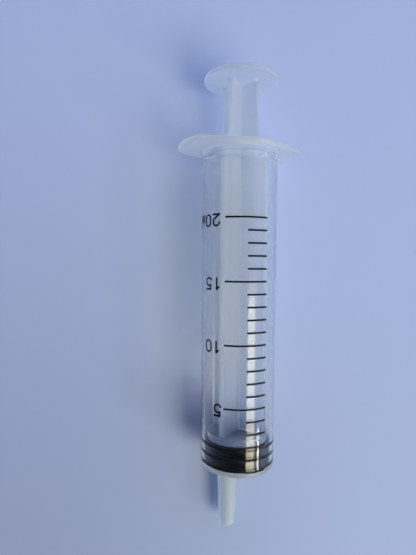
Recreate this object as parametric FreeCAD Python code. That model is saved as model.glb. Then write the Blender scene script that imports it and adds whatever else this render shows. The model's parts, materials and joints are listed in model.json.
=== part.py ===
import FreeCAD, Part
import math
import os

# Dosing syringe, 20 ml, lying on a table with the plunger pushed fully in.
# Every piece is first drawn in the syringe's own frame, in millimetres:
#   z runs along the barrel, 0 at the open end, positive towards the nozzle
#   y points up and x to the right, as seen with the nozzle towards the viewer's feet
# Angles round the barrel are measured from y towards x.
# At the end every piece is laid down on the table as it comes to rest.

Vector = FreeCAD.Vector

# Barrel
bore_d = 19.2
barrel_wall = 1.05
barrel_length = 91.4
end_wall = 1.0
end_edge_round = 0.5
mouth_chamfer = 0.5
ridge_height = 0.3
ridge_width = 1.4
ridge_from_mouth = 3.7

# Finger flange: a disc cut by two pairs of flats, so that each wing tapers
flange_r = 17.8
flange_thickness = 1.5
flange_flat_reach = 11.8
flange_taper_angle = 17.1
flange_corner_round = 3.0
flange_rim_round = 0.4
flange_root_round = 0.5

# Nozzle, set off the barrel's axis towards the flange's narrow side
nozzle_offset = 6.0
nozzle_base_r = 3.5
nozzle_seat_r = 2.7
nozzle_tip_r = 2.1
nozzle_flare_length = 10.6
nozzle_seat_length = 5.3
nozzle_taper_length = 5.95
nozzle_tip_round = 0.35
nozzle_root_round = 0.4
channel_r = 1.1

# Rubber stopper
seal_clearance = 0.05
front_gap = 0.1
stopper_length = 6.6
rib_width = 1.0
rib_height = 0.5
rib_count = 3
rib_crest_inset = 0.25
stopper_edge_round = 0.25

# Plunger rod, which turns freely and has come to rest with its ribs aslant
rod_turn = -42
thumb_r = 10.4
thumb_thickness = 1.5
thumb_rim_round = 0.45
finger_gap = 18.2
rod_rib_thickness = 1.4
rod_rib_edge_round = 0.2
rod_root_round = 0.8
rod_outer_reach = 5.6
rod_inner_reach = 8.6
rod_flare_start = 4.4
rod_flare_length = 10.4
front_plate_r = 8.8
front_plate_thickness = 2.2
front_plate_round = 0.3
plate_gap = 0.15

# Retaining head of the rod, held in the stopper
neck_r = 3.0
neck_length = 1.9
head_r = 4.4
head_rim_length = 1.0
head_nose_length = 1.6
head_nose_r = 2.4
head_clearance = 0.15

# Printed scale
scale_ml = 20
marks_per_number = 5
zero_before_bore_end = 0.55
ink_thickness = 0.06
line_width = 0.52
long_line_from = -32.0
short_line_from = 1.5
line_to = 33.7
numeral_start = -34.6
numeral_height = 3.6
numeral_width = 2.65
numeral_gap = 0.55
gap_after_one = 1.35
two_digit_inset = 1.0
numeral_raise = 0.68
one_flag_reach = 0.72
stroke_depth = 2.0
two_starts_at = 170
two_leaves_at = -40
five_joins_at = 130
five_ends_at = -150
unit_gap = 0.9
unit_x_height = 2.1
unit_arch_width = 1.15

# How far a piece that cuts runs past the shape that it cuts
cut_margin = 1.0

# Edges closer than this to a height, a radius or a centre count as being there
near = 0.001

# Sizes that follow from those above
bore_r = bore_d / 2
barrel_r = bore_r + barrel_wall
bore_end = barrel_length - end_wall
nozzle_length = nozzle_flare_length + nozzle_seat_length + nozzle_taper_length
nozzle_angle = 180 + flange_taper_angle
millilitre_length = 1000 / (math.pi * bore_r ** 2)
stopper_front = bore_end - front_gap
stopper_back = stopper_front - stopper_length
seal_r = bore_r - seal_clearance
stopper_body_r = seal_r - rib_height
plate_front = stopper_back - plate_gap
plate_back = plate_front - front_plate_thickness
thumb_inner_face = -finger_gap
thumb_outer_face = thumb_inner_face - thumb_thickness

# Full draw: the stopper's back stops just short of the retaining ridge
ridge_end = ridge_from_mouth + ridge_width / 2
ridge_clearance = 0.2
full_draw = stopper_back - ridge_end - ridge_clearance

# Rest on the table: on the flange's lower flat and the barrel's lower end edge
flange_contact = flange_thickness - flange_rim_round
end_contact = barrel_length - end_edge_round
rest_tilt = math.atan((flange_flat_reach - barrel_r) / (end_contact - flange_contact))
rest_height = flange_flat_reach * math.cos(rest_tilt) + flange_contact * math.sin(rest_tilt)
whole_length = barrel_length + nozzle_length - thumb_outer_face
middle = thumb_outer_face + whole_length / 2


def around(angle, distance, z=0.0):
    """Point at a distance from the axis, at an angle from y towards x."""
    turn = math.radians(angle)
    return Vector(distance * math.sin(turn), distance * math.cos(turn), z)


def turned(edges):
    """Solid of revolution about the syringe's axis from edges in the xz plane."""
    face = Part.Face(Part.Wire(edges))
    return face.revolve(Vector(0, 0, 0), Vector(0, 0, 1), 360)


def profile(points):
    """Closed chain of straight edges through (radius, z) points."""
    corners = [Vector(r, 0, z) for r, z in points]
    corners.append(corners[0])
    return [Part.LineSegment(a, b).toShape() for a, b in zip(corners, corners[1:])]


def upright_edges(shape):
    """Edges that run straight along z."""
    found = []
    for edge in shape.Edges:
        a, b = edge.Vertexes[0].Point, edge.Vertexes[-1].Point
        if abs(a.z - b.z) > near and math.hypot(a.x - b.x, a.y - b.y) < near:
            found.append(edge)
    return found


def level_edges(shape, z):
    """Edges that lie in the plane at height z."""
    return [e for e in shape.Edges
            if abs(e.BoundBox.ZMin - z) < near and abs(e.BoundBox.ZMax - z) < near]


def circle_edges(shape, radius, z, centre=Vector(0, 0, 0)):
    """Full circles of one radius at height z about a centre."""
    found = []
    for edge in level_edges(shape, z):
        if not isinstance(edge.Curve, Part.Circle):
            continue
        across = edge.Curve.Center - centre
        if abs(edge.Curve.Radius - radius) < near and math.hypot(across.x, across.y) < near:
            found.append(edge)
    return found


def finger_flange():
    disc = Part.makeCylinder(flange_r, flange_thickness)
    half_slab = flange_r + cut_margin
    slab = Part.makeBox(2 * half_slab, 2 * flange_flat_reach, flange_thickness,
                        Vector(-half_slab, -flange_flat_reach, 0))
    second = slab.copy()
    second.rotate(Vector(0, 0, 0), Vector(0, 0, 1), -2 * flange_taper_angle)
    plate = disc.common(slab).common(second)
    plate = plate.makeFillet(flange_corner_round, upright_edges(plate))
    rim = level_edges(plate, 0) + level_edges(plate, flange_thickness)
    return plate.makeFillet(flange_rim_round, rim)


def nozzle_solid():
    """Flared root, straight seat for a tube, and a tapered tip with a rounded edge."""
    seat_start = nozzle_flare_length
    seat_end = seat_start + nozzle_seat_length
    root = -end_wall / 2
    solid = turned(profile([(0, root), (nozzle_base_r, root), (nozzle_base_r, 0),
                            (nozzle_seat_r, seat_start), (nozzle_seat_r, seat_end),
                            (nozzle_tip_r, nozzle_length), (0, nozzle_length)]))
    solid = solid.makeFillet(nozzle_tip_round, circle_edges(solid, nozzle_tip_r, nozzle_length))
    solid.translate(around(nozzle_angle, nozzle_offset, barrel_length))
    return solid


def retaining_ridge():
    """Low rounded bead inside the mouth, which keeps the stopper in."""
    half = ridge_width / 2
    start = Vector(bore_r, 0, ridge_from_mouth - half)
    crest = Vector(bore_r - ridge_height, 0, ridge_from_mouth)
    finish = Vector(bore_r, 0, ridge_from_mouth + half)
    seat = bore_r + barrel_wall / 2
    outer_finish = Vector(seat, 0, finish.z)
    outer_start = Vector(seat, 0, start.z)
    return turned([Part.Arc(start, crest, finish).toShape(),
                   Part.LineSegment(finish, outer_finish).toShape(),
                   Part.LineSegment(outer_finish, outer_start).toShape(),
                   Part.LineSegment(outer_start, start).toShape()])


def barrel():
    tube = Part.makeCylinder(barrel_r, barrel_length)
    tube = tube.makeFillet(end_edge_round, circle_edges(tube, barrel_r, barrel_length))
    body = tube.fuse(finger_flange()).fuse(nozzle_solid()).removeSplitter()
    nozzle_centre = around(nozzle_angle, nozzle_offset)
    body = body.makeFillet(nozzle_root_round,
                           circle_edges(body, nozzle_base_r, barrel_length, nozzle_centre))
    body = body.makeFillet(flange_root_round, circle_edges(body, barrel_r, flange_thickness))
    body = body.cut(Part.makeCylinder(bore_r, bore_end))
    mouth = Part.makeCone(bore_r + mouth_chamfer, bore_r, mouth_chamfer)
    body = body.cut(mouth)
    channel_start = nozzle_centre + Vector(0, 0, bore_end - cut_margin)
    channel_length = end_wall + nozzle_length + 2 * cut_margin
    body = body.cut(Part.makeCylinder(channel_r, channel_length, channel_start))
    return body.fuse(retaining_ridge()).removeSplitter()


def stopper():
    """Rubber stopper with sealing ribs round it and a cavity for the rod's head."""
    pitch = (stopper_length - rib_width) / (rib_count - 1)
    core = Part.makeCylinder(stopper_body_r, stopper_length, Vector(0, 0, stopper_back))
    core = core.makeFillet(stopper_edge_round, circle_edges(core, stopper_body_r, stopper_front))
    for index in range(rib_count):
        start = stopper_back + index * pitch
        low, high = start, start + rib_width
        inner_r = stopper_body_r - rib_height
        core = core.fuse(turned(profile([(inner_r, low), (stopper_body_r, low),
                                         (seal_r, low + rib_crest_inset),
                                         (seal_r, high - rib_crest_inset),
                                         (stopper_body_r, high), (inner_r, high)])))
    back = stopper_back
    neck_hole_end = plate_front + neck_length - head_clearance
    head_end = plate_front + neck_length + head_rim_length + head_nose_length
    cavity = turned(profile([(0, back), (neck_r + head_clearance, back),
                             (neck_r + head_clearance, neck_hole_end),
                             (head_r + head_clearance, neck_hole_end),
                             (head_r + head_clearance, head_end - head_nose_length),
                             (head_nose_r + head_clearance, head_end + head_clearance),
                             (0, head_end + head_clearance)]))
    return core.removeSplitter().cut(cavity)


def rod_rib_plate():
    """One flat plate of the cross-shaped rod, with both its ribs, flaring past the flange."""
    half_reach = (rod_inner_reach - rod_outer_reach) / 2
    half_length = rod_flare_length / 2
    bend_r = (half_reach ** 2 + half_length ** 2) / (2 * half_reach)
    half_turn = math.asin(half_length / bend_r) / 2
    side_step = bend_r * (1 - math.cos(half_turn))
    length_step = bend_r * math.sin(half_turn)
    flare_start = -rod_flare_start
    flare_end = flare_start + rod_flare_length
    overlap = thumb_thickness / 2
    low = thumb_inner_face - overlap
    high = plate_back + front_plate_thickness / 2

    def point(side, x, z):
        return Vector(side * x, 0, z)

    def side_edges(side):
        """Edges from the thumb rest to the front plate along one side."""
        middle_point = point(side, rod_outer_reach + half_reach, flare_start + half_length)
        first = point(side, rod_outer_reach, flare_start)
        last = point(side, rod_inner_reach, flare_end)
        return [Part.LineSegment(point(side, rod_outer_reach, low), first).toShape(),
                Part.Arc(first, point(side, rod_outer_reach + side_step, flare_start + length_step),
                         middle_point).toShape(),
                Part.Arc(middle_point,
                         point(side, rod_inner_reach - side_step, flare_end - length_step),
                         last).toShape(),
                Part.LineSegment(last, point(side, rod_inner_reach, high)).toShape()]

    edges = side_edges(1) + side_edges(-1)
    edges.append(Part.LineSegment(point(-1, rod_outer_reach, low),
                                  point(1, rod_outer_reach, low)).toShape())
    edges.append(Part.LineSegment(point(-1, rod_inner_reach, high),
                                  point(1, rod_inner_reach, high)).toShape())
    face = Part.Face(Part.Wire(Part.__sortEdges__(edges)))
    face.translate(Vector(0, -rod_rib_thickness / 2, 0))
    plate = face.extrude(Vector(0, rod_rib_thickness, 0))
    outer = [e for e in plate.Edges
             if abs(abs(e.CenterOfMass.y) - rod_rib_thickness / 2) < near
             and abs(e.CenterOfMass.x) > rod_outer_reach / 2]
    return plate.makeFillet(rod_rib_edge_round, outer)


def plunger_rod():
    first = rod_rib_plate()
    second = first.copy()
    second.rotate(Vector(0, 0, 0), Vector(0, 0, 1), 90)
    thumb = Part.makeCylinder(thumb_r, thumb_thickness, Vector(0, 0, thumb_outer_face))
    thumb = thumb.makeFillet(thumb_rim_round, circle_edges(thumb, thumb_r, thumb_outer_face)
                             + circle_edges(thumb, thumb_r, thumb_inner_face))
    plate = Part.makeCylinder(front_plate_r, front_plate_thickness, Vector(0, 0, plate_back))
    plate = plate.makeFillet(front_plate_round, circle_edges(plate, front_plate_r, plate_back)
                             + circle_edges(plate, front_plate_r, plate_front))
    neck_end = plate_front + neck_length
    head_rim_end = neck_end + head_rim_length
    head = turned(profile([(0, plate_front), (neck_r, plate_front), (neck_r, neck_end),
                           (head_r, neck_end), (head_r, head_rim_end),
                           (head_nose_r, head_rim_end + head_nose_length),
                           (0, head_rim_end + head_nose_length)]))
    rod = first.fuse([second, thumb, plate, head]).removeSplitter()
    shortest_root = 2 * rod_rib_thickness
    roots = [e for e in level_edges(rod, thumb_inner_face)
             if isinstance(e.Curve, Part.Line) and e.Length > shortest_root]
    rod = rod.makeFillet(rod_root_round, roots)
    rod.rotate(Vector(0, 0, 0), Vector(0, 0, 1), -rod_turn)
    return rod


def pen_dot(x, y):
    """Round end of a pen stroke."""
    return Part.makeCylinder(line_width / 2, stroke_depth, Vector(x, y, 0))


def stroke_line(start, end):
    """Straight pen stroke with round ends, standing on the xy plane."""
    (x1, y1), (x2, y2) = start, end
    length = math.hypot(x2 - x1, y2 - y1)
    bar = Part.makeBox(length, line_width, stroke_depth, Vector(0, -line_width / 2, 0))
    bar.rotate(Vector(0, 0, 0), Vector(0, 0, 1), math.degrees(math.atan2(y2 - y1, x2 - x1)))
    bar.translate(Vector(x1, y1, 0))
    return [bar, pen_dot(x1, y1), pen_dot(x2, y2)]


def stroke_arc(centre, radius, start, sweep):
    """Curved pen stroke about a centre, from a start angle over a sweep in degrees."""
    cx, cy = centre
    place = Vector(cx, cy, 0)
    outer = Part.makeCylinder(radius + line_width / 2, stroke_depth, place, Vector(0, 0, 1), sweep)
    outer.rotate(place, Vector(0, 0, 1), start)
    band = outer.cut(Part.makeCylinder(radius - line_width / 2, stroke_depth, place))
    ends = [pen_dot(cx + radius * math.cos(math.radians(a)), cy + radius * math.sin(math.radians(a)))
            for a in (start, start + sweep)]
    return [band] + ends


def glyph_strokes(character):
    """Pen strokes and width of one character, with its lower left corner at 0, 0."""
    top = numeral_height - line_width
    right = numeral_width - line_width
    r = right / 2
    if character == "0":
        strokes = stroke_arc((r, top - r), r, 0, 180) + stroke_arc((r, r), r, 180, 180)
        strokes += stroke_line((0, r), (0, top - r)) + stroke_line((right, r), (right, top - r))
        return strokes, right
    if character == "1":
        flag = one_flag_reach
        return stroke_line((flag, 0), (flag, top)) + stroke_line((0, top - flag), (flag, top)), flag
    if character == "2":
        turn = math.radians(two_leaves_at)
        leaves = (r + r * math.cos(turn), top - r + r * math.sin(turn))
        strokes = stroke_arc((r, top - r), r, two_leaves_at, two_starts_at - two_leaves_at)
        return strokes + stroke_line(leaves, (0, 0)) + stroke_line((0, 0), (right, 0)), right
    if character == "5":
        turn = math.radians(five_joins_at)
        joins = (r + r * math.cos(turn), r + r * math.sin(turn))
        strokes = stroke_arc((r, r), r, five_ends_at, five_joins_at - five_ends_at)
        strokes += stroke_line(joins, (joins[0], top))
        return strokes + stroke_line((joins[0], top), (right, top)), right
    if character == "m":
        arch_r = unit_arch_width / 2
        shoulder = unit_x_height - line_width - arch_r
        strokes = stroke_line((0, 0), (0, shoulder + arch_r))
        for index in (0, 1):
            left = index * unit_arch_width
            strokes += stroke_arc((left + arch_r, shoulder), arch_r, 0, 180)
            strokes += stroke_line((left + unit_arch_width, 0), (left + unit_arch_width, shoulder))
        return strokes, 2 * unit_arch_width
    return stroke_line((0, 0), (0, top)), 0.0


def glyph_on_barrel(character, arc_from_start, z_low, ink_shell):
    """One character wrapped on the barrel, and how far along its right edge lies."""
    strokes, width = glyph_strokes(character)
    block = strokes[0].fuse(strokes[1:]).removeSplitter()
    block.translate(Vector(-width / 2, line_width / 2, -stroke_depth / 2))
    middle_arc = arc_from_start + (width + line_width) / 2
    angle = numeral_start - math.degrees(middle_arc / barrel_r)
    outward = around(angle, 1)
    along = around(angle - 90, 1)
    turn = FreeCAD.Rotation(along, Vector(0, 0, 1), outward, "XYZ")
    foot = outward * barrel_r + Vector(0, 0, z_low)
    block.Placement = FreeCAD.Placement(foot, turn).multiply(block.Placement)
    return block.common(ink_shell).Solids, arc_from_start + width + line_width


def scale_number(value, mark_z):
    """Digits beside a long mark, and the unit beside the highest one."""
    low = mark_z - numeral_height / 2 + numeral_raise
    shell_start = Vector(0, 0, low - cut_margin)
    shell_length = numeral_height + 2 * cut_margin
    shell = Part.makeCylinder(barrel_r + ink_thickness, shell_length, shell_start)
    shell = shell.cut(Part.makeCylinder(barrel_r, shell_length, shell_start))
    solids = []
    place = two_digit_inset if len(str(value)) > 1 else 0.0
    for digit in str(value):
        found, place = glyph_on_barrel(digit, place, low, shell)
        solids += found
        place += gap_after_one if digit == "1" else numeral_gap
    if value == scale_ml:
        place += unit_gap - numeral_gap
        for letter in "ml":
            found, place = glyph_on_barrel(letter, place, low, shell)
            solids += found
            place += numeral_gap
    return solids


def scale_line(mark_z, start_angle):
    """One line of ink round part of the barrel."""
    low, high = mark_z - line_width / 2, mark_z + line_width / 2
    corners = [around(line_to, r, z) for r, z in
               ((barrel_r, low), (barrel_r + ink_thickness, low),
                (barrel_r + ink_thickness, high), (barrel_r, high), (barrel_r, low))]
    section = Part.Face(Part.makePolygon(corners))
    return section.revolve(Vector(0, 0, 0), Vector(0, 0, 1), line_to - start_angle)


def printed_scale():
    solids = []
    for value in range(scale_ml + 1):
        mark_z = bore_end - zero_before_bore_end - value * millilitre_length
        numbered = value > 0 and value % marks_per_number == 0
        solids.append(scale_line(mark_z, long_line_from if numbered else short_line_from))
        if numbered:
            solids += scale_number(value, mark_z)
    return Part.makeCompound(solids)


def laid_down(shape):
    """Lay a piece on the table, with the middle of the whole length over the origin."""
    shape = shape.copy()
    shape.translate(Vector(0, 0, -middle))
    shape.rotate(Vector(0, 0, 0), Vector(1, 0, 0), 90 + math.degrees(rest_tilt))
    shape.translate(Vector(0, 0, rest_height - middle * math.sin(rest_tilt)))
    return shape


def main():
    os.makedirs("parts", exist_ok=True)
    pieces = {"barrel": barrel(), "rubber_stopper": stopper(),
              "plunger_rod": plunger_rod(), "printed_scale": printed_scale()}
    for name, shape in pieces.items():
        laid_down(shape).exportStep("parts/" + name + ".step")
    print("one millilitre along the barrel", round(millilitre_length, 4))
    print("rest tilt", round(math.degrees(rest_tilt), 3), "full draw", round(full_draw, 2))


main()
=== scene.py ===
import json
import math

import bpy
import bmesh
from mathutils import Matrix, Vector


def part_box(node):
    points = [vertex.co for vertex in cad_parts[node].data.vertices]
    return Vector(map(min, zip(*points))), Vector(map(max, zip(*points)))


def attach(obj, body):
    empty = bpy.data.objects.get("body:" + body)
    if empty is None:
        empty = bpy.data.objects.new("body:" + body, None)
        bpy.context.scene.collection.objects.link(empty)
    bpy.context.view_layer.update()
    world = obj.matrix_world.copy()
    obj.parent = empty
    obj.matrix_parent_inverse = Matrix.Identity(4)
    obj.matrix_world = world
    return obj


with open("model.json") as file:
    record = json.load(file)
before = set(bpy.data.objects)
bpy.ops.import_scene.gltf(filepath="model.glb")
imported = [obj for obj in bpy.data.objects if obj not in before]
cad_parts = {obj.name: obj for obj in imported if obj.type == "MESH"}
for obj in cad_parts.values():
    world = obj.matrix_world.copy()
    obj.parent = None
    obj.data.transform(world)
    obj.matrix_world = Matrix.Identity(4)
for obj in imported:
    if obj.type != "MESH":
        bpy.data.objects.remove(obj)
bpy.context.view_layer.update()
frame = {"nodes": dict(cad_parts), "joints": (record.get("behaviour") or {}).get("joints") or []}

# The barrel's axis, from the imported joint: drawing the plunger moves it towards the thumb rest
DRAWN = Vector(frame["joints"][0]["axis"]).normalized()
NOZZLEWARD = -DRAWN
AXIS_POINT = Vector(frame["joints"][1]["pos_m"])
BARREL_TILT = math.atan2(DRAWN.z, DRAWN.y)

# Camera, as in the photograph: a phone's main lens looking down at the middle of the barrel
SENSOR_MM = 36.0
FOCAL_LENGTH_MM = 27.05
CLIP_START = 0.005
CAMERA_TO_AXIS = 0.12148
CAMERA_LEFT_OF_AXIS = 0.00891
FOOT_BEHIND_STOPPER = 0.04645
# The barrel's axis as the camera sees it, in degrees
CAMERA_ROUND_AXIS = 7.4
AXIS_PITCH = 1.88
AXIS_YAW = -0.47

# What the world shows near the ground and overhead
SKY_BLUE = "#b8ceff"
GROUND_LIGHT_RIGHT = 0.6
GROUND_LIGHT_LEFT = 0.36
OVERHEAD_LIGHT = 0.02

# Lamps, all as far off: name, direction, width and length in metres, watts, colour
LAMP_DISTANCE = 1.6
LAMPS = [
    ("window", (0.455, -0.44, 0.757), (0.66, 1.3), 21.5, "#fff5d8"),
    ("small_lamp", (0.8415, -0.55, 0.54), (0.1, 0.35), 3.5, "#fffbe8"),
    ("bright_wall", (0.85, -0.1, 0.5), (1.6, 2.4), 13.0, SKY_BLUE),
    ("far_wall", (0.3, 0.8, 0.52), (2.0, 1.4), 10.0, SKY_BLUE),
]

# Sheet that the syringe lies on, with painted shade: duller towards the near left, as in the photograph
SHEET_FAR = "#a9b8df"
SHEET_NEAR_RIGHT = "#a6b6d5"
SHEET_NEAR_LEFT_PAINTED_SHADE = "#949fbd"
SHEET_FAR_Y = 0.09
SHEET_NEAR_Y = -0.10
SHEET_RIGHT_X = 0.05
SHEET_LEFT_X = -0.07
SHEET_HALF_WIDTH = 3.0
SHEET_ROUGHNESS = 0.9

# Places along the barrel and the rod, in metres
BARREL_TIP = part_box("barrel")[0][1]
BARREL_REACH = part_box("barrel")[1][1] - BARREL_TIP
ROD_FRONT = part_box("plunger_rod")[0][1]
ROD_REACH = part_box("plunger_rod")[1][1] - ROD_FRONT
NOZZLE_LENGTH = 0.02185
END_WALL = 0.001
FLANGE_THICKNESS = 0.0015
THUMB_THICKNESS = 0.0015
RIDGE_FROM_MOUTH = 0.0037
BLEND = 0.0003

# Stopper's ribs, and the bands where they press on the bore, in metres
RIB_COUNT = 3
RIB_WIDTH = 0.001
RIB_PITCH = 0.0028
BAND_WIDTH = 0.0009
BAND_EDGE = 0.00008
BAND_INNER_R = 0.0093
BAND_OUTER_R = 0.00964
BAND_STEPS = 128

# Polypropylene: the lines of its flow, in waves per metre across and along the barrel
FINE_LINES = (2600.0, 5.0)
BROAD_LINES = (800.0, 3.0)
LINES_FAINTEST, LINES_STRONGEST = 0.7, 1.3
LEAST_MILK, MOST_MILK = 0.8, 1.2
LINE_DEPTH = 0.00002
LINE_STRENGTH = 0.3

# Polypropylene: how it lets light through. Its own index is 1.49. The lower one gives the wall the
# weak reflections that it has in the photograph
WALL_IOR = 1.38
MILKY_ROUGHNESS = 0.5
MILK_AT_MILKY_ROUGHNESS = 0.4
MILK_TO_WHITE = 2.6
SHARE_PASSED_ON = 0.66
THIN_MILK, THICK_MILK = 0.25, 0.6
THIN_SHADOW = "#f4f4f2"
THICK_SHADOW = "#98a4b4"

# Rubber and ink: their unevenness in waves per metre
RUBBER_GRAIN = 1800.0
GRAIN_DEPTH = 0.00002
GRAIN_STRENGTH = 0.15
RUBBER_IOR = 1.5
OIL_FILM = 900.0
INK_MESH = 6000.0


def linear(hex_colour, alpha=1.0):
    """sRGB hex to the linear colour that a shader takes."""
    channels = [int(hex_colour[i:i + 2], 16) / 255 for i in (1, 3, 5)]
    low = [c / 12.92 if c <= 0.04045 else ((c + 0.055) / 1.055) ** 2.4 for c in channels]
    return (*low, alpha)


def new_material(name):
    """Empty node material with its output node, and the tree."""
    material = bpy.data.materials.new(name)
    material.use_nodes = True
    tree = material.node_tree
    tree.nodes.clear()
    return material, tree


def add(tree, kind, settings=None, **links):
    """Node of one kind, with its settings and its sockets set or linked."""
    node = tree.nodes.new(kind)
    for key, value in (settings or {}).items():
        setattr(node, key, value)
    for key, value in links.items():
        socket = node.inputs[int(key[1:])] if key[0] == "_" and key[1:].isdigit() \
            else node.inputs[key.replace("_", " ")]
        if isinstance(value, bpy.types.NodeSocket):
            tree.links.new(value, socket)
        else:
            socket.default_value = value
    return node


def barrel_place(tree):
    """Object coordinates turned so that Y runs exactly along the barrel."""
    place = add(tree, "ShaderNodeTexCoord").outputs["Object"]
    turned = add(tree, "ShaderNodeMapping", Vector=place, Rotation=(-BARREL_TILT, 0, 0))
    return turned.outputs["Vector"]


def flow_lines(tree, place, waves, detail):
    """Noise drawn out along the barrel, as the melt flows in the mould: a value round 0.5."""
    across, along = waves
    stretched = add(tree, "ShaderNodeVectorMath", {"operation": "MULTIPLY"},
                    _0=place, _1=(across, along, across)).outputs["Vector"]
    return add(tree, "ShaderNodeTexNoise", Vector=stretched, Scale=1.0, Detail=detail).outputs["Fac"]


def ramp(tree, value, stops):
    """Grey value that follows the stops, pairs of position and grey."""
    node = add(tree, "ShaderNodeValToRGB", Fac=value)
    elements = node.color_ramp.elements
    while len(elements) < len(stops):
        elements.new(0.5)
    for element, (position, grey) in zip(elements, stops):
        element.position = position
        element.color = (grey, grey, grey, 1)
    return node.outputs["Color"]


def milk_along(tree, place, start, reach, stops):
    """Share of milk along a moulding that starts at one place in Y, from stops in metres from there."""
    y = add(tree, "ShaderNodeSeparateXYZ", Vector=place).outputs["Y"]
    share = add(tree, "ShaderNodeMapRange", Value=y, From_Min=start,
                From_Max=start + reach).outputs["Result"]
    return ramp(tree, share, [(distance / reach, milk) for distance, milk in stops])


def maths(tree, operation, first, second):
    """Value of a sum or product of two sockets or numbers."""
    node = add(tree, "ShaderNodeMath", {"operation": operation}, _0=first, _1=second)
    return node.outputs["Value"]


def colour_mix(tree, share, first, second):
    """Colour that goes from the first to the second with a share. Each is a hex colour or a socket."""
    first, second = (linear(c) if isinstance(c, str) else c for c in (first, second))
    node = add(tree, "ShaderNodeMix", {"data_type": "RGBA"}, Factor=share, _6=first, _7=second)
    return node.outputs[2]


def polypropylene(name, start, reach, stops, clear_roughness, tint, haze, milk_white):
    """Moulded polypropylene: see-through where thin and milky where thick, with lines along its flow.
    A thin haze scatters blue and thick milk is white. Lamps shine through it, most where it is clear."""
    material, tree = new_material(name)
    place = barrel_place(tree)
    fine_lines = flow_lines(tree, place, FINE_LINES, detail=2.0)
    broad_lines = flow_lines(tree, place, BROAD_LINES, detail=1.0)
    unevenness = add(tree, "ShaderNodeMapRange", Value=maths(tree, "ADD", fine_lines, broad_lines),
                     From_Min=LINES_FAINTEST, From_Max=LINES_STRONGEST,
                     To_Min=LEAST_MILK, To_Max=MOST_MILK).outputs["Result"]
    even_milk = milk_along(tree, place, start, reach, stops)
    milk = maths(tree, "MULTIPLY", even_milk, unevenness)
    roughness = add(tree, "ShaderNodeMapRange", Value=even_milk, From_Max=MILK_AT_MILKY_ROUGHNESS,
                    To_Min=clear_roughness, To_Max=MILKY_ROUGHNESS).outputs["Result"]
    bump = add(tree, "ShaderNodeBump", Strength=LINE_STRENGTH, Distance=LINE_DEPTH,
               Height=broad_lines).outputs["Normal"]
    clear = add(tree, "ShaderNodeBsdfPrincipled", Base_Color=linear(tint), Roughness=roughness,
                IOR=WALL_IOR, Transmission_Weight=1.0).outputs["BSDF"]
    scattered = colour_mix(tree, maths(tree, "MULTIPLY", milk, MILK_TO_WHITE), haze, milk_white)
    reflecting = add(tree, "ShaderNodeBsdfPrincipled", Base_Color=scattered, Roughness=MILKY_ROUGHNESS,
                     IOR=WALL_IOR, Normal=bump).outputs["BSDF"]
    passing = add(tree, "ShaderNodeBsdfTranslucent", Color=scattered, Normal=bump).outputs["BSDF"]
    scatter = add(tree, "ShaderNodeMixShader", Fac=SHARE_PASSED_ON, _1=reflecting, _2=passing)
    body = add(tree, "ShaderNodeMixShader", Fac=milk, _1=clear, _2=scatter.outputs["Shader"])
    dense = add(tree, "ShaderNodeMapRange", Value=milk, From_Min=THIN_MILK,
                From_Max=THICK_MILK).outputs["Result"]
    through = add(tree, "ShaderNodeBsdfTransparent",
                  Color=colour_mix(tree, dense, THIN_SHADOW, THICK_SHADOW))
    lamp_ray = add(tree, "ShaderNodeLightPath").outputs["Is Shadow Ray"]
    surface = add(tree, "ShaderNodeMixShader", Fac=lamp_ray, _1=body.outputs["Shader"],
                  _2=through.outputs["BSDF"])
    add(tree, "ShaderNodeOutputMaterial", Surface=surface.outputs["Shader"])
    return material


def barrel_polypropylene():
    """Clarified polypropylene: clear wall, milky flange, end wall and nozzle."""
    stops = [(0.0, 0.8), (NOZZLE_LENGTH - BLEND, 0.72), (NOZZLE_LENGTH + BLEND, 0.2),
             (NOZZLE_LENGTH + END_WALL, 0.14), (NOZZLE_LENGTH + END_WALL + BLEND, 0.003),
             (BARREL_REACH * 0.35, 0.006), (BARREL_REACH * 0.55, 0.04), (BARREL_REACH * 0.7, 0.08),
             (BARREL_REACH - 3 * RIDGE_FROM_MOUTH, 0.11), (BARREL_REACH - RIDGE_FROM_MOUTH, 0.17),
             (BARREL_REACH - FLANGE_THICKNESS - BLEND, 0.22),
             (BARREL_REACH - FLANGE_THICKNESS + BLEND, 0.38)]
    return polypropylene("clarified_polypropylene", BARREL_TIP, BARREL_REACH, stops,
                         clear_roughness=0.06, tint="#faf9f6", haze="#a8c0f0", milk_white="#dde4e6")


def rod_polypropylene():
    """Natural polypropylene: milkier than the barrel, most of all at the thumb rest."""
    stops = [(0.0, 0.14), (ROD_REACH * 0.08, 0.17), (ROD_REACH * 0.25, 0.32), (ROD_REACH * 0.7, 0.38),
             (ROD_REACH - THUMB_THICKNESS - BLEND, 0.4), (ROD_REACH - THUMB_THICKNESS + BLEND, 0.56)]
    return polypropylene("natural_polypropylene", ROD_FRONT, ROD_REACH, stops,
                         clear_roughness=0.12, tint="#f8f8f5", haze="#6c9aee", milk_white="#d8e0e8")


def butyl_rubber():
    """Black butyl rubber with a film of silicone oil: deep black with a broad soft sheen."""
    material, tree = new_material("black_butyl_rubber")
    place = add(tree, "ShaderNodeTexCoord").outputs["Object"]
    grain = add(tree, "ShaderNodeTexNoise", Vector=place, Scale=RUBBER_GRAIN, Detail=3.0).outputs["Fac"]
    film = add(tree, "ShaderNodeMapRange", Value=grain, To_Min=0.1, To_Max=0.2).outputs["Result"]
    bump = add(tree, "ShaderNodeBump", Strength=GRAIN_STRENGTH, Distance=GRAIN_DEPTH, Height=grain)
    surface = add(tree, "ShaderNodeBsdfPrincipled", Base_Color=linear("#030405"), Roughness=film,
                  IOR=RUBBER_IOR, Specular_IOR_Level=0.2, Normal=bump.outputs["Normal"])
    add(tree, "ShaderNodeOutputMaterial", Surface=surface.outputs["BSDF"])
    return material


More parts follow.
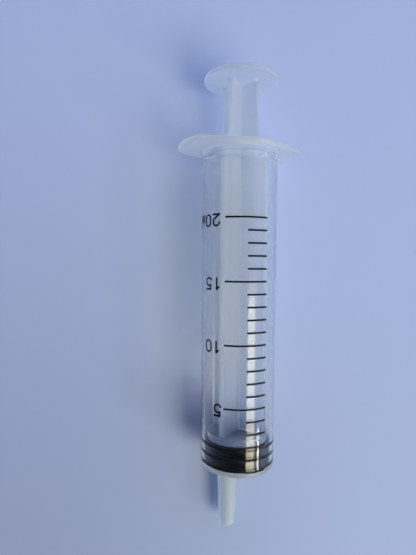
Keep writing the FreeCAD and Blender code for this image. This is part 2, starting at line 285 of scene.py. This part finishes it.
def screen_ink():
    """Black screen-printing ink: dense, matt, a little uneven where the mesh laid it down."""
    material, tree = new_material("black_screen_ink")
    place = add(tree, "ShaderNodeTexCoord").outputs["Object"]
    mesh_marks = add(tree, "ShaderNodeTexNoise", Vector=place, Scale=INK_MESH, Detail=1.0).outputs["Fac"]
    black = colour_mix(tree, mesh_marks, "#020204", "#0a0b10")
    surface = add(tree, "ShaderNodeBsdfPrincipled", Base_Color=black, Roughness=0.6,
                  Specular_IOR_Level=0.2)
    add(tree, "ShaderNodeOutputMaterial", Surface=surface.outputs["BSDF"])
    return material


def wet_rubber():
    """Rubber pressed through its oil film against the barrel's wall: black, almost without gloss."""
    material, tree = new_material("wet_black_rubber")
    place = add(tree, "ShaderNodeTexCoord").outputs["Object"]
    film = add(tree, "ShaderNodeTexNoise", Vector=place, Scale=OIL_FILM, Detail=2.0).outputs["Fac"]
    black = colour_mix(tree, film, "#040507", "#0b0d12")
    surface = add(tree, "ShaderNodeBsdfPrincipled", Base_Color=black, Roughness=0.4,
                  Specular_IOR_Level=0.1)
    add(tree, "ShaderNodeOutputMaterial", Surface=surface.outputs["BSDF"])
    return material


def contact_bands():
    """Where the stopper's ribs press on the bore: three low rings that reach just into the wall."""
    bm = bmesh.new()
    side = Vector((1, 0, 0))
    half = BAND_WIDTH / 2
    for rib in range(RIB_COUNT):
        middle = AXIS_POINT + NOZZLEWARD * (RIB_WIDTH / 2 + rib * RIB_PITCH)
        outline = [(BAND_INNER_R, -half), (BAND_OUTER_R - BAND_EDGE, -half),
                   (BAND_OUTER_R, BAND_EDGE - half), (BAND_OUTER_R, half - BAND_EDGE),
                   (BAND_OUTER_R - BAND_EDGE, half), (BAND_INNER_R, half)]
        ring = [bm.verts.new(middle + side * r + NOZZLEWARD * z) for r, z in outline]
        edges = [bm.edges.new((a, b)) for a, b in zip(ring, ring[1:] + ring[:1])]
        bmesh.ops.spin(bm, geom=ring + edges, cent=middle, axis=NOZZLEWARD, angle=math.tau,
                       steps=BAND_STEPS, use_merge=True)
    bmesh.ops.recalc_face_normals(bm, faces=bm.faces)
    piece = mesh_piece(bm, "stopper_contact_bands", wet_rubber())
    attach(piece, "stopper")


def mesh_piece(bm, name, material):
    """Object at the origin from a finished bmesh, with its material."""
    mesh = bpy.data.meshes.new(name)
    bm.to_mesh(mesh)
    bm.free()
    mesh.materials.append(material)
    piece = bpy.data.objects.new(name, mesh)
    bpy.context.collection.objects.link(piece)
    return piece


def dress(node, material):
    """Gives every material slot of a CAD node one material."""
    for slot in frame["nodes"][node].material_slots:
        slot.material = material


def pale_blue_sheet_with_painted_shade():
    """Smooth matt card of a pale blue, with shade painted into its colour towards the near side, darkest
    at the near left.
    """
    material, tree = new_material("pale_blue_sheet_with_painted_shade")
    place = add(tree, "ShaderNodeTexCoord").outputs["Object"]
    parts = add(tree, "ShaderNodeSeparateXYZ", Vector=place)
    # Painted shade: the sheet's colour darkens towards the near side and most towards the near left
    near = add(tree, "ShaderNodeMapRange", {"interpolation_type": "SMOOTHSTEP"},
               Value=parts.outputs["Y"], From_Min=SHEET_FAR_Y, From_Max=SHEET_NEAR_Y).outputs["Result"]
    left = add(tree, "ShaderNodeMapRange", {"interpolation_type": "SMOOTHSTEP"},
               Value=parts.outputs["X"], From_Min=SHEET_RIGHT_X, From_Max=SHEET_LEFT_X).outputs["Result"]
    near_shaded_tone = colour_mix(tree, left, SHEET_NEAR_RIGHT, SHEET_NEAR_LEFT_PAINTED_SHADE)
    tone = colour_mix(tree, near, SHEET_FAR, near_shaded_tone)
    surface = add(tree, "ShaderNodeBsdfPrincipled", Base_Color=tone, Roughness=SHEET_ROUGHNESS)
    add(tree, "ShaderNodeOutputMaterial", Surface=surface.outputs["BSDF"])
    return material


def floor():
    """Sheet that the syringe lies on, out to the horizon of the other views."""
    bm = bmesh.new()
    bmesh.ops.create_grid(bm, x_segments=1, y_segments=1, size=SHEET_HALF_WIDTH)
    mesh_piece(bm, "floor", pale_blue_sheet_with_painted_shade())


def area_light(name, direction, size, power, colour):
    """Rectangular lamp at LAMP_DISTANCE in a direction, with its length along the barrel."""
    data = bpy.data.lights.new(name, "AREA")
    data.shape = "RECTANGLE"
    data.size, data.size_y = size
    data.energy = power
    data.color = linear(colour)[:3]
    lamp = bpy.data.objects.new(name, data)
    bpy.context.collection.objects.link(lamp)
    away = Vector(direction).normalized()
    across = Vector((0, 1, 0)).cross(away).normalized()
    turn = Matrix((across, away.cross(across), away)).transposed()
    lamp.matrix_world = Matrix.Translation(away * LAMP_DISTANCE) @ turn.to_4x4()


def world_light():
    """Soft blue light from the sides, brighter on the right, and next to none from overhead."""
    world = bpy.data.worlds.new("studio")
    bpy.context.scene.world = world
    world.use_nodes = True
    tree = world.node_tree
    tree.nodes.clear()
    direction = add(tree, "ShaderNodeTexCoord").outputs["Generated"]
    way = add(tree, "ShaderNodeSeparateXYZ", Vector=direction)
    ground = add(tree, "ShaderNodeMapRange", Value=way.outputs["X"], From_Min=-1.0, From_Max=1.0,
                 To_Min=GROUND_LIGHT_LEFT, To_Max=GROUND_LIGHT_RIGHT).outputs["Result"]
    fall = add(tree, "ShaderNodeMapRange", Value=way.outputs["Z"], To_Min=ground, To_Max=OVERHEAD_LIGHT)
    sky = add(tree, "ShaderNodeBackground", Color=linear(SKY_BLUE), Strength=fall.outputs["Result"])
    add(tree, "ShaderNodeOutputWorld", Surface=sky.outputs["Background"])


def photo_camera():
    """Camera placed from the barrel's axis, so that the frame matches the photograph."""
    right = Vector((1, 0, 0))
    above = right.cross(NOZZLEWARD).normalized() * -1
    if above.z < 0:
        above.negate()
    turn = Matrix.Rotation(math.radians(CAMERA_ROUND_AXIS), 3, NOZZLEWARD)
    side, up = turn @ right, turn @ above
    pitch, yaw = math.radians(AXIS_PITCH), math.radians(AXIS_YAW)
    # The same three directions as the camera sees them: x right, y down, z away
    seen_axis = Vector((math.sin(yaw) * math.cos(pitch), math.cos(yaw) * math.cos(pitch),
                        math.sin(pitch)))
    seen_side = seen_axis.cross(Vector((0, 0, -1))).normalized()
    if seen_side.x < 0:
        seen_side.negate()
    seen_up = seen_side.cross(seen_axis).normalized()
    if seen_up.z > 0:
        seen_up.negate()
    world = Matrix((side, up, NOZZLEWARD)).transposed()
    seen = Matrix((seen_side, seen_up, seen_axis)).transposed()
    turn_to_world = world @ seen.transposed()
    foot = AXIS_POINT + DRAWN * FOOT_BEHIND_STOPPER
    foot_seen = Vector((CAMERA_LEFT_OF_AXIS, 0, CAMERA_TO_AXIS))
    place = foot - turn_to_world @ foot_seen
    data = bpy.data.cameras.new("photo_camera")
    data.sensor_width = SENSOR_MM
    data.lens = FOCAL_LENGTH_MM
    data.clip_start = CLIP_START
    camera = bpy.data.objects.new("photo_camera", data)
    bpy.context.collection.objects.link(camera)
    flip = Matrix(((1, 0, 0), (0, -1, 0), (0, 0, -1)))
    camera.matrix_world = Matrix.Translation(place) @ (turn_to_world @ flip).to_4x4()
    bpy.context.scene.camera = camera


dress("barrel", barrel_polypropylene())
dress("plunger_rod", rod_polypropylene())
dress("rubber_stopper", butyl_rubber())
dress("printed_scale", screen_ink())
contact_bands()
floor()
world_light()
for lamp in LAMPS:
    area_light(*lamp)
photo_camera()

bpy.context.scene.view_settings.view_transform = "Standard"
